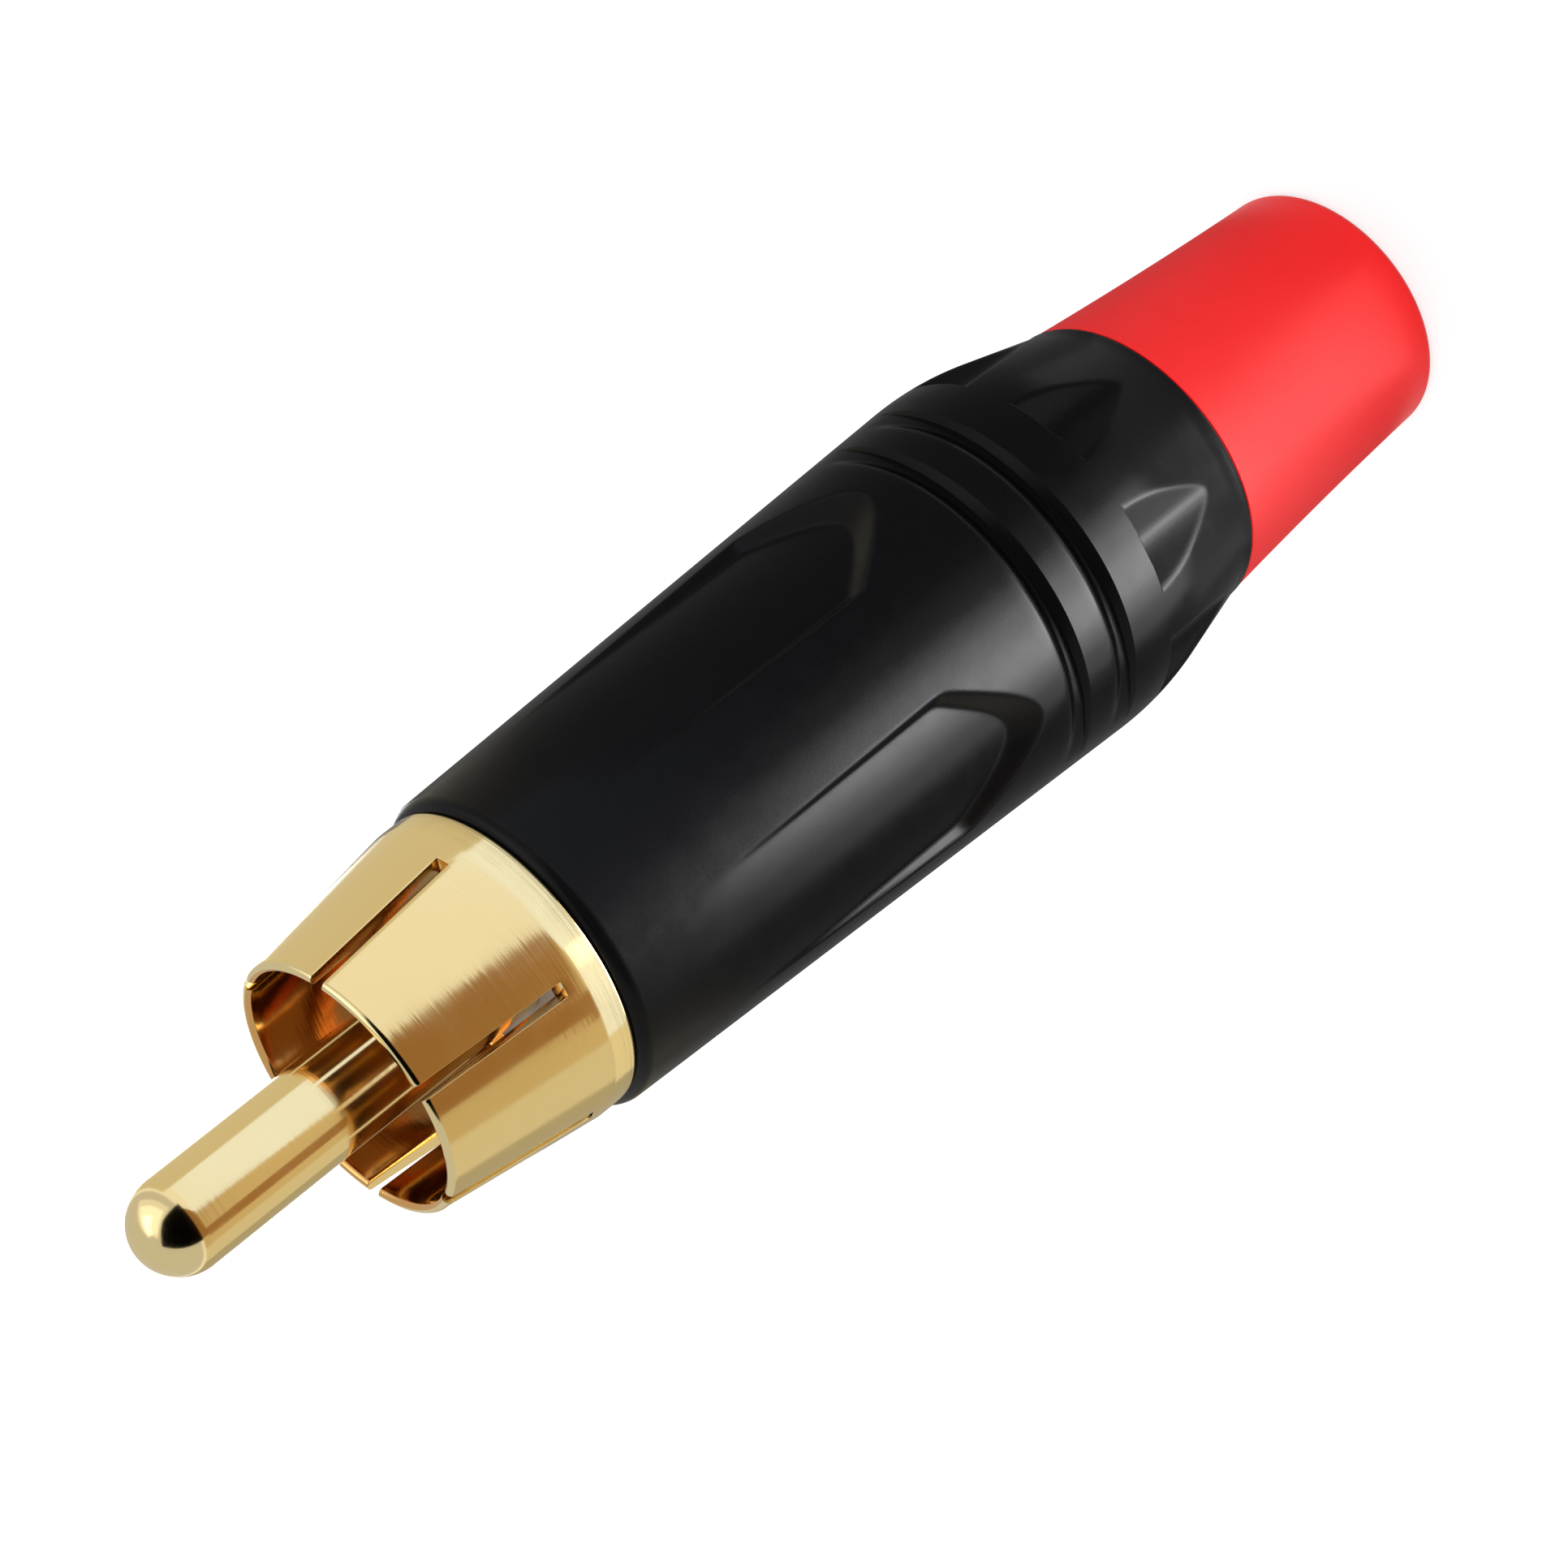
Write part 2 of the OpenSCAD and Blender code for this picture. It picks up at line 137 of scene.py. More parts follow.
def cut_boxes(piece, boxes):
    """Cuts boxes, each (centre, size, turn about Z), out of a piece."""
    work = bmesh.new()
    for centre, size, turn in boxes:
        place = Matrix.Rotation(turn, 4, "Z") @ Matrix.Translation(centre)
        bmesh.ops.create_cube(work, size=1, matrix=place @ Matrix.Diagonal((*size, 1)))
    mesh = bpy.data.meshes.new("cutter")
    work.to_mesh(mesh)
    work.free()
    cutter = new_object("cutter", mesh)
    modifier = piece.modifiers.new("cut", "BOOLEAN")
    modifier.operation = "DIFFERENCE"
    modifier.solver = "EXACT"
    modifier.object = cutter
    apply_modifiers(piece)
    bpy.data.objects.remove(cutter)
    bpy.data.meshes.remove(mesh)


# Shell: a die-cast tube whose outside is a grid of radii, which gives its cuts soft edges

DRAFT_ANGLE = math.radians(2.18)
TAPER_ANGLE = math.radians(13.9)
DRAFT = math.tan(DRAFT_ANGLE)
TAPER = math.tan(TAPER_ANGLE)
SHOULDER_Z = RIM_Z + 6.64
TAPER_Z = RIM_Z + 3.33
BLEND_Z = RIM_Z + 0.71
BLEND_R = 3.6
FRONT_R = 5.665
FRONT_EDGE = 0.45
SHOULDER_R = (SHOULDER_Z - TAPER_Z) / (math.sin(DRAFT_ANGLE) + math.sin(TAPER_ANGLE))
MAX_R = FRONT_R + (FRONT_Z - SHOULDER_Z) * DRAFT
SHOULDER_C = (
    MAX_R - SHOULDER_R * math.cos(DRAFT_ANGLE),
    SHOULDER_Z - SHOULDER_R * math.sin(DRAFT_ANGLE),
)
CAST_TURN = math.radians(1.2)
DIMPLE_STEP_Z = RIM_Z + 5.41
GROOVE_Z = RIM_Z + 7.18
GROOVE_PITCH = 2.11
SNAP_Z = RIM_Z + 2.7

# A radius that cuts nothing, the rise of a wall that is nearly upright, and the softness of an edge
NO_CUT = 99.0
STEEP = 20
EDGE_SOFT = 0.05


def cone_r(z):
    return FRONT_R + (FRONT_Z - z) * DRAFT


def taper_r(z):
    return SHOULDER_C[0] + SHOULDER_R * math.cos(TAPER_ANGLE) - (TAPER_Z - z) * TAPER


def plain_r(z):
    """Radius of the shell's outer line before any cut."""
    shoulder = SHOULDER_C[0] + np.sqrt(np.maximum(SHOULDER_R**2 - (z - SHOULDER_C[1]) ** 2, 0))
    centre_r = taper_r(BLEND_Z) + BLEND_R * math.cos(TAPER_ANGLE)
    centre_z = BLEND_Z - BLEND_R * math.sin(TAPER_ANGLE)
    blend = centre_r - np.sqrt(np.maximum(BLEND_R**2 - (z - centre_z) ** 2, 0))
    return np.select(
        [z >= SHOULDER_Z, z >= TAPER_Z, z >= BLEND_Z], [cone_r(z), shoulder, taper_r(z)], blend
    )


RIM_R = float(plain_r(np.array(RIM_Z)))


def flat_cut(z, angle):
    """Radius left by a finger flat at angle zero: bowed floor, sloping sides and an arched rear end."""
    middle, bow_r, half_w, slope = 5.74, 7.2, 2.37, 1.9
    arch_z = FRONT_Z - 14.35
    arch_lean, arch_round = math.radians(55.3), 1.2
    side_soft, reach = 0.22, 0.7
    bow_x = middle - bow_r
    side_x = bow_x + math.sqrt(bow_r**2 - half_w**2)
    facing = np.abs(angle) < reach
    angle = np.clip(angle, -reach, reach)
    cos, sin = np.cos(angle), np.abs(np.sin(angle))
    floor = bow_x * cos + np.sqrt(bow_r**2 - (bow_x * sin) ** 2)
    sides = (side_x - half_w / slope) / (cos - sin / slope)
    across = cone_r(arch_z) * np.abs(angle)
    limb = np.hypot(across, arch_round) - math.hypot(half_w, arch_round)
    arch = floor + (arch_z - z) * math.cos(arch_lean) + limb * math.sin(arch_lean)
    walls = smooth_max(arch, sides, side_soft)
    return np.where(facing, smooth_max(floor, walls, EDGE_SOFT), NO_CUT)


def dimple_cut(z, angle):
    """Radius left by a dimple at angle zero: a shallow V, rounded below, that stops at a sharp step."""
    point_z = RIM_Z + 1.7
    side_slope, rounding, reach = 0.45, 0.15, 0.6
    base = taper_r(point_z) - rounding
    facing = np.abs(angle) < reach
    angle = np.clip(angle, -reach, reach)
    cos, sin = np.cos(angle), np.sin(angle)
    spread_sq = cos**2 - (side_slope * sin) ** 2
    root = np.sqrt((cos * base) ** 2 - spread_sq * (base**2 - rounding**2))
    floor = (cos * base + root) / spread_sq
    return np.where(facing, floor + np.maximum(z - DIMPLE_STEP_Z, 0) * STEEP, NO_CUT)


def groove_cut(start_z, z, angle):
    """Radius left by a groove on the -Y side: sharp rear wall, rounded front lip, fading round the side."""
    width, lip, depth = 1.12, 0.8, 0.55
    end_angle, front_slope, bottom_soft = math.radians(70), 0.6, 0.08
    surface = cone_r(start_z + width / 2)
    shift = depth / (1 - math.cos(end_angle))
    reach = surface - depth + shift
    fade = shift * np.sin(angle) + np.sqrt(reach**2 - (shift * np.cos(angle)) ** 2)
    below = np.clip(start_z + width - z, 0, lip)
    rise = np.maximum(z - start_z - width, 0) * front_slope
    front = surface - lip + np.sqrt(lip**2 - below**2) + rise
    wall = np.maximum(start_z - z, 0) * STEEP
    return smooth_max(fade, front, bottom_soft) + wall


def angle_from(angle, degrees):
    """Angle measured from a direction, up to half a turn each way."""
    return np.mod(angle - math.radians(degrees) + math.pi, TAU) - math.pi


def shell_r(z, angle):
    """Radius of the shell's outside, with four flats, eight dimples and two grooves on each side."""
    angle = angle - CAST_TURN
    cuts = [flat_cut(z, angle_from(angle, 45 + 90 * k)) for k in range(4)]
    cuts += [dimple_cut(z, angle_from(angle, 22.5 + 45 * k)) for k in range(8)]
    for side in (0, math.pi):
        cuts += [groove_cut(GROOVE_Z + GROOVE_PITCH * k, z, angle + side) for k in range(2)]
    r = plain_r(z)
    for cut in cuts:
        r = smooth_min(r, cut, EDGE_SOFT)
    return r


def spaced(*stops):
    """Heights from stop to stop, each stop giving (height, spacing up to the next)."""
    out = []
    for (low, step), (high, _) in zip(stops, stops[1:]):
        count = max(1, round((high - low) / step))
        out += list(np.linspace(low, high, count, endpoint=False))
    return np.array(out + [stops[-1][0]])


def make_shell():
    columns = 400
    angles = np.arange(columns) * TAU / columns
    edge_z = FRONT_Z - FRONT_EDGE
    second_z = GROOVE_Z + GROOVE_PITCH
    # Rows lie closest together at the dimples' step and the grooves' rear walls
    heights = spaced(
        (RIM_Z + 0.06, 0.08), (12.0, 0.12),
        (DIMPLE_STEP_Z - 0.12, 0.03), (DIMPLE_STEP_Z + 0.12, 0.14),
        (GROOVE_Z - 0.15, 0.03), (GROOVE_Z + 0.12, 0.09),
        (second_z - 0.15, 0.03), (second_z + 0.12, 0.09),
        (22.2, 0.12), (26.4, 0.3), (edge_z - 0.02, 0.02), (edge_z, 1),
    )
    z, a = np.meshgrid(heights, angles, indexing="ij")
    r = shell_r(z, a)
    outside = np.stack([r * np.cos(a), r * np.sin(a), z], axis=-1).reshape(-1, 3)
    bore_r, throat_r, skirt_r, snap_r = 4.8, 4.05, 4.6, 4.77
    cone_z, throat_z, skirt_z = 18.88, 15.62, 15.04
    snap_half = 0.55
    # From the front edge back through the bore, the inner cone, the skirt with its snap groove, and the rim
    rest = arc((cone_r(edge_z) - FRONT_EDGE, edge_z), FRONT_EDGE, 9, 90, 9)
    rest += [(bore_r + 0.28, FRONT_Z), (bore_r + 0.25, FRONT_Z - 0.02)]
    rest += [(bore_r + 0.02, FRONT_Z - 0.23), (bore_r, FRONT_Z - 0.27), (bore_r, 30.0)]
    rest += [(bore_r, cone_z), (bore_r - 0.01, cone_z - 0.06), (throat_r + 0.01, throat_z + 0.04)]
    rest += [(throat_r, throat_z), (throat_r, skirt_z + 0.02), (throat_r + 0.02, skirt_z)]
    rest += [(skirt_r - 0.03, skirt_z), (skirt_r, skirt_z - 0.03)]
    for side in (1, -1):
        wall_z = SNAP_Z + side * snap_half
        wall = [(skirt_r, wall_z + side * 0.02), (skirt_r + 0.02, wall_z)]
        wall += [(snap_r - 0.02, wall_z), (snap_r, wall_z - side * 0.02)]
        rest += wall[::side]
    rest += [(skirt_r, RIM_Z + 0.06), (skirt_r + 0.06, RIM_Z)]
    rest += [(RIM_R - 0.08, RIM_Z), (RIM_R - 0.02, RIM_Z + 0.015)]
    inside = [(p * math.cos(t), p * math.sin(t), h) for p, h in rest for t in angles]
    points = np.vstack([outside, np.array(inside)])
    piece = mesh_piece("shell_casting", points, ring_faces(len(heights) + len(rest), columns, True))
    tidy_normals(piece)
    return piece


# Boot: a hollow-flared tail with a split snap spigot

def make_boot():
    end_r, edge, flare = 4.64, 0.45, 237.0
    spigot_r, snap_r, bore_r = 4.55, 4.72, 3.5
    slit_w, slit_len = 0.8, 4.3
    top = RIM_Z + 4.2
    front = Vector((RIM_R - 0.03, RIM_Z - SEAM_GAP))
    back = Vector((end_r, edge))
    chord = front - back
    reach = math.sqrt(flare**2 - (chord.length / 2) ** 2)
    centre = (front + back) / 2 + reach * Vector((chord.y, -chord.x)) / chord.length
    line = arc((end_r - edge, edge), edge, -90, -4, 9)
    for z in spaced((edge, 0.05), (edge + 0.1, 0.5), (front.y - 0.14, 0.07), (front.y - 0.05, 1)):
        line.append((centre.x - math.sqrt(flare**2 - (z - centre.y) ** 2), z))
    line += [(front.x - 0.012, front.y - 0.012), (front.x - 0.05, front.y), (front.x - 0.1, front.y)]
    bead = [(spigot_r, 0.42), (spigot_r + 0.01, 0.38), (snap_r - 0.01, 0.24), (snap_r, 0.22)]
    line += [(spigot_r + 0.03, front.y), (spigot_r, front.y + 0.03)]
    line += [(r, SNAP_Z - z) for r, z in bead]
    line += [(r, SNAP_Z + z) for r, z in reversed(bead)]
    line += [(spigot_r, top - 0.32), (spigot_r - 0.01, top - 0.28), (spigot_r - 0.28, top - 0.01)]
    line += [(spigot_r - 0.32, top), (bore_r + 0.03, top), (bore_r, top - 0.03)]
    line += [(bore_r, 0.34), (bore_r + 0.01, 0.28), (bore_r + 0.28, 0.02), (bore_r + 0.33, 0.0)]
    piece = lathe("boot_tail", line, 192)
    slits = [((bore_r, 0, top - 1.15), (4, slit_w, slit_len), k * TAU / 4) for k in range(4)]
    cut_boxes(piece, slits)
    return piece


# Pin: turned, with a round tip, a thinner shank and a solder cup open at its side

def make_pin():
    r, shank, cup_r = 1.6, 1.3, 0.95
    floor_z = CUP_Z + 3.7
    columns = 128
    line = [(0.0, floor_z), (cup_r - 0.02, floor_z), (cup_r, floor_z - 0.02)]
    line += [(cup_r, CUP_Z + 0.02), (cup_r + 0.02, CUP_Z)]
    line += [(shank - 0.03, CUP_Z), (shank, CUP_Z + 0.03), (shank, SOCKET_Z - 0.02), (shank + 0.02, SOCKET_Z)]
    line += [(r - 0.05, SOCKET_Z), (r, SOCKET_Z + 0.05)]
    line += [(r, z) for z in np.linspace(SOCKET_Z + 0.1, TIP_Z - r - 0.04, 28)]
    line += arc((0, TIP_Z - r), r, 0, 88, 40)
    angles = np.arange(columns) * TAU / columns
    points = [(0, 0, line[0][1])]
    points += [(p * math.cos(t), p * math.sin(t), h) for p, h in line[1:] for t in angles]
    points += [(0, 0, TIP_Z)]
    rings = len(line) - 1
    faces = [tuple(1 + i for i in quad) for quad in ring_faces(rings, columns, False)]
    last = len(points) - 1
    for j in range(columns):
        k = (j + 1) % columns
        faces.append((0, 1 + k, 1 + j))
        faces.append((last, 1 + (rings - 1) * columns + j, 1 + (rings - 1) * columns + k))
    piece = mesh_piece("contact_pin", points, faces)
    tidy_normals(piece)
    cut_boxes(piece, [((0, 1.3, CUP_Z + 1.05), (5.2, 2.6, 4.1), 0.0)])
    return piece


# Sleeve: six petals on a plain band, with a barrel behind that carries the thread

SLOT_TURN = 11.6
SLOT_W = 0.5
SLOT_Z = MOUTH_Z - 5.35


def make_sleeve():
    seat_r, mouth_r, wall = 5.4, 4.6, 0.38
    lip = wall / 2
    lip_z = MOUTH_Z - lip
    band_z = SEAT_Z + 0.9
    root_r = 4.6
    barrel_r, bush_r, step_r = 4.36, 3.02, 3.62
    step_z = SOCKET_Z - 0.6
    heights = list(np.linspace(SLOT_Z, lip_z, 18))

    def outer_r(z):
        return seat_r - (z - band_z) * (seat_r - mouth_r) / (lip_z - band_z)

    def inner_r(z):
        return root_r - (z - SOCKET_Z) * (root_r - mouth_r + wall) / (lip_z - SOCKET_Z)

    outer = [(seat_r, SEAT_Z + 0.04), (seat_r, SEAT_Z + 0.1)]
    outer += [(seat_r, band_z - 0.08), (seat_r - 0.003, band_z)]
    outer += [(outer_r(z), z) for z in (band_z + 0.08, band_z + 0.3)]
    slotted = [(outer_r(z), z) for z in heights]
    slotted += arc((mouth_r - lip, lip_z), lip, 0, 180, 12)[1:-1]
    slotted += [(inner_r(z), z) for z in reversed(heights)]
    inner = [(inner_r(SOCKET_Z + 0.3), SOCKET_Z + 0.3), (root_r, SOCKET_Z + 0.08), (root_r - 0.08, SOCKET_Z)]
    inner += [(step_r + 0.04, SOCKET_Z), (step_r, SOCKET_Z - 0.04)]
    inner += [(step_r, step_z + 0.03), (step_r - 0.03, step_z)]
    inner += [(bush_r + 0.04, step_z), (bush_r, step_z - 0.04)]
    inner += [(bush_r, BARREL_Z + 0.04), (bush_r + 0.04, BARREL_Z)]
    barrel = [(barrel_r - 0.16, BARREL_Z), (barrel_r, BARREL_Z + 0.16), (barrel_r, BARREL_Z + 0.3)]
    barrel += [(barrel_r, SEAT_Z - 0.03), (barrel_r + 0.04, SEAT_Z)]
    barrel += [(seat_r - 0.1, SEAT_Z), (seat_r - 0.04, SEAT_Z)]
    line = outer + slotted + inner + barrel
    first, last = len(outer), len(outer) + len(slotted) - 1

    per_petal, per_slot = 28, 3
    shares = [("petal", k / per_petal) for k in range(per_petal + 1)]
    shares += [("slot", k / (per_slot + 1)) for k in range(1, per_slot + 1)]
    columns = len(shares) * 6

    def quad(row, other_row, column, other_column):
        return (
            row * columns + column, row * columns + other_column,
            other_row * columns + other_column, other_row * columns + column,
        )

    points = []
    for r, z in line:
        half = math.asin(SLOT_W / 2 / r)
        for n in range(6):
            left = math.radians(SLOT_TURN + 60 * n) + half
            right = math.radians(SLOT_TURN + 60 * (n + 1)) - half
            for kind, share in shares:
                t = left + (right - left) * share if kind == "petal" else right + 2 * half * share
                points.append((r * math.cos(t), r * math.sin(t), z))
    faces = []
    for i in range(len(line)):
        k = (i + 1) % len(line)
        open_row = first <= i < last
        for j in range(columns):
            if open_row and j % len(shares) >= per_petal:
                continue
            m = (j + 1) % columns
            faces.append(quad(i, k, j, m))
    # Walls on both sides of each slot, and the slot's closed end
    for n in range(6):
        right_edge = n * len(shares) + per_petal
        left_edge = (n + 1) % 6 * len(shares)
        for k in range(len(slotted) // 2):
            a, b = first + k, last - k
            if b - a < 2:
                continue
            for edge in (right_edge, left_edge):
                faces.append(tuple(row * columns + edge for row in (a, a + 1, b - 1, b)))
        for k in range(per_slot + 1):
            j = right_edge + k
            m = left_edge if k == per_slot else j + 1
            faces.append(quad(first, last, j, m))
    piece = mesh_piece("contact_sleeve", points, faces)
    tidy_normals(piece)
    bevel = piece.modifiers.new("edges", "BEVEL")
    bevel.width = 0.022
    bevel.segments = 3
    bevel.limit_method = "ANGLE"
    bevel.angle_limit = math.radians(60)
    apply_modifiers(piece)
    piece.data.shade_smooth()
    return piece


def make_thread():
    """Helical ridge on the barrel, right-handed, running out at both ends."""
    pitch, root_r, crest_r = 0.75, 4.34, 4.75
    low, high = BARREL_Z + 0.4, SEAT_Z - 1.0
    per_turn = 96
    count = int((high - low) / pitch * per_turn)
    fade = per_turn // 4
    # Half of the ridge's section: share of its height, and distance from its middle along the axis
    flank = [(0, 0.36), (0.0, 0.33), (0.9, 0.07), (1.0, 0.04)]
    section = [(share, -along) for share, along in flank] + flank[::-1]
    points = []
    for i in range(count + 1):
        t = i / per_turn * TAU
        z = low + i / per_turn * pitch
        grow = min(1.0, i / fade, (count - i) / fade)
        for share, along in section:
            r = root_r + 0.03 * (grow - 1) + (crest_r - root_r) * share * grow
            points.append((r * math.cos(t), r * math.sin(t), z + along * (0.2 + 0.8 * grow)))
    width = len(section)
    faces = []
    for i in range(count):
        for j in range(width):
            k = (j + 1) % width
            faces.append((i * width + j, i * width + k, (i + 1) * width + k, (i + 1) * width + j))
    faces.append(tuple(range(width)))
    faces.append(tuple(count * width + j for j in reversed(range(width))))
    piece = mesh_piece("barrel_thread", points, faces)
    tidy_normals(piece)
    return piece


# Materials

def node_tree(name):
    material = bpy.data.materials.new(name)
    material.use_nodes = True
    tree = material.node_tree
    return material, tree, tree.nodes["Principled BSDF"]


def millimetres(tree, scale=(1, 1, 1)):
    """Object coordinates in millimetres, stretched by scale."""
    place = tree.nodes.new("ShaderNodeTexCoord")
    mapping = tree.nodes.new("ShaderNodeMapping")
    mapping.inputs["Scale"].default_value = [s / MM for s in scale]
    tree.links.new(place.outputs["Object"], mapping.inputs["Vector"])
    return mapping.outputs["Vector"]


def noise(tree, vector, scale, detail=3.0, roughness=0.5):
    node = tree.nodes.new("ShaderNodeTexNoise")
    node.inputs["Scale"].default_value = scale
    node.inputs["Detail"].default_value = detail
    node.inputs["Roughness"].default_value = roughness
    tree.links.new(vector, node.inputs["Vector"])
    return node.outputs["Fac"]


def spread(tree, value, low, high):
    """Maps the middle of a noise to a range of values."""
    node = tree.nodes.new("ShaderNodeMapRange")
    node.inputs["From Min"].default_value = 0.3
    node.inputs["From Max"].default_value = 0.7
    node.inputs["To Min"].default_value = low
    node.inputs["To Max"].default_value = high
    tree.links.new(value, node.inputs["Value"])
    return node.outputs["Result"]


def two_tone(tree, value, first, second):
    """Mixes two colours, each of which is three numbers or the output of another node."""
    node = tree.nodes.new("ShaderNodeMix")
    node.data_type = "RGBA"
    for name, colour in (("A", first), ("B", second)):
        if isinstance(colour, bpy.types.NodeSocket):
            tree.links.new(colour, node.inputs[name])
        else:
            node.inputs[name].default_value = (*colour, 1)
    tree.links.new(value, node.inputs["Factor"])
    return node.outputs["Result"]


def bump(tree, value, depth_mm, under=None):
    node = tree.nodes.new("ShaderNodeBump")
    node.inputs["Strength"].default_value = 1.0
    node.inputs["Distance"].default_value = depth_mm * MM
    tree.links.new(value, node.inputs["Height"])
    if under is not None:
        tree.links.new(under, node.inputs["Normal"])
    return node.outputs["Normal"]


def facing_in(tree):
    """One where a face looks towards the axis, zero where it looks away from it."""
    place = tree.nodes.new("ShaderNodeTexCoord")
    across = tree.nodes.new("ShaderNodeVectorMath")
    across.operation = "MULTIPLY"
    across.inputs[1].default_value = (1, 1, 0)
    tree.links.new(place.outputs["Object"], across.inputs[0])
    along = tree.nodes.new("ShaderNodeVectorMath")
    along.operation = "DOT_PRODUCT"
    tree.links.new(across.outputs["Vector"], along.inputs[0])
    tree.links.new(place.outputs["Normal"], along.inputs[1])
    inward = tree.nodes.new("ShaderNodeMath")
    inward.operation = "LESS_THAN"
    inward.inputs[1].default_value = -0.5 * MM
    tree.links.new(along.outputs["Value"], inward.inputs[0])
    return inward.outputs["Value"]


def gold(name, mark_depth, dullness):
    """Gold plate over turned brass: rings left by the tool, duller patches, and a darker, redder gold painted
    on the inward faces as shade.
    """
    material, tree, shader = node_tree(name)
    shader.inputs["Metallic"].default_value = 1.0
    rings = noise(tree, millimetres(tree, (0.15, 0.15, 6)), 1.0, 2.0, 0.6)
    patches = noise(tree, millimetres(tree), 0.9, 4.0)
    tree.links.new(spread(tree, patches, *dullness), shader.inputs["Roughness"])
    outer = two_tone(tree, patches, (0.95, 0.77, 0.40), (0.94, 0.75, 0.38))
    # Painted shade: faces that look towards the axis, inside the sleeve and the solder cup, get a darker,
    # redder gold
    inside_shade = two_tone(tree, patches, (0.82, 0.46, 0.16), (0.80, 0.44, 0.15))
    tree.links.new(two_tone(tree, facing_in(tree), outer, inside_shade), shader.inputs["Base Color"])
    tree.links.new(bump(tree, rings, mark_depth), shader.inputs["Normal"])
    return material


def black_paint():
    """Gloss black paint on the casting, with a faint orange peel."""
    material, tree, shader = node_tree("black_paint")
    shader.inputs["Specular IOR Level"].default_value = 0.11
    peel = noise(tree, millimetres(tree), 1.3, 2.0)
    grain = noise(tree, millimetres(tree), 14.0, 2.0)
    tree.links.new(spread(tree, peel, 0.23, 0.28), shader.inputs["Roughness"])
    tone = two_tone(tree, grain, (0.0022, 0.0022, 0.0026), (0.0040, 0.0040, 0.0046))
    tree.links.new(tone, shader.inputs["Base Color"])
    tree.links.new(bump(tree, grain, 0.0012, bump(tree, peel, 0.003)), shader.inputs["Normal"])
    return material


def red_plastic():
    """Satin red plastic with the fine texture of its mould."""
    material, tree, shader = node_tree("red_plastic")
    shader.inputs["Specular IOR Level"].default_value = 0.27
    grain = noise(tree, millimetres(tree), 9.0, 3.0)
    cloud = noise(tree, millimetres(tree), 0.5, 3.0)
    tree.links.new(spread(tree, grain, 0.46, 0.54), shader.inputs["Roughness"])
    tone = two_tone(tree, cloud, (0.97, 0.013, 0.014), (0.93, 0.010, 0.011))
    tree.links.new(tone, shader.inputs["Base Color"])
    tree.links.new(bump(tree, grain, 0.0022), shader.inputs["Normal"])
    return material


def moulded_plastic(name, first, second):
    """Dull moulded plastic of the inner pieces, in two close tones."""
    material, tree, shader = node_tree(name)
    grain = noise(tree, millimetres(tree), 8.0, 3.0)
    tree.links.new(spread(tree, grain, 0.45, 0.55), shader.inputs["Roughness"])
    tree.links.new(two_tone(tree, grain, first, second), shader.inputs["Base Color"])
    tree.links.new(bump(tree, grain, 0.003), shader.inputs["Normal"])
    return material


def dress(piece, material):
    piece.data.materials.clear()
    piece.data.materials.append(material)


# Pieces and what they ride on

sleeve_gold = gold("gold_sleeve", 0.0030, (0.11, 0.16))
pin_gold = gold("gold_pin", 0.0014, (0.10, 0.14))
paint = black_paint()
red = red_plastic()
black = moulded_plastic("black_plastic", (0.012, 0.012, 0.013), (0.018, 0.018, 0.019))
# Off-white insulator greyed well below white PTFE: partly its own colour, partly painted shade that darkens
# the inside of the sleeve
white = moulded_plastic("white_plastic", (0.58, 0.56, 0.52), (0.52, 0.50, 0.46))

for make, body, node, material, slot in (
    (make_shell, "shell", "shell", paint, "black_paint"),
    (make_boot, "boot", "boot", red, "red_plastic"),
    (make_pin, "contact", "centre_pin", pin_gold, "gold_pin"),
    (make_sleeve, "contact", "ground_sleeve", sleeve_gold, "gold_sleeve"),
    (make_thread, "contact", None, sleeve_gold, "gold_sleeve"),
):
    piece = make()
    to_metres(piece)
    dress(piece, material)
    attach(piece, body)
    if node:
        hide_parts(node)

for node, material in (("pin_insulator", white), ("cable_chuck", black), ("ground_tag", sleeve_gold)):
    dress(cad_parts[node], material)


# Stage: floor, soft light, cards that only reflections see, and the camera

def floor_material(albedo, lift):
    """White floor. For the camera and for reflections it glows a little as well, which leaves its shadow."""
    material, tree, shader = node_tree("floor_white")
    shader.inputs["Base Color"].default_value = (albedo, albedo, albedo, 1)
    shader.inputs["Roughness"].default_value = 1.0
    shader.inputs["Specular IOR Level"].default_value = 0.0
    shader.inputs["Emission Color"].default_value = (1, 1, 1, 1)
    ray = tree.nodes.new("ShaderNodeLightPath")
    seen = ray.outputs["Is Camera Ray"]
    for name in ("Is Glossy Ray", "Is Transmission Ray"):
        node = tree.nodes.new("ShaderNodeMath")
        node.operation = "MAXIMUM"
        tree.links.new(seen, node.inputs[0])
        tree.links.new(ray.outputs[name], node.inputs[1])
        seen = node.outputs["Value"]
    node = tree.nodes.new("ShaderNodeMath")
    node.operation = "MULTIPLY"
    node.inputs[1].default_value = lift
    tree.links.new(seen, node.inputs[0])
    tree.links.new(node.outputs["Value"], shader.inputs["Emission Strength"])
    return material


def stage_piece(name, points, faces, material):
    piece = mesh_piece(name, points, faces)
    to_metres(piece)
    dress(piece, material)
    return piece


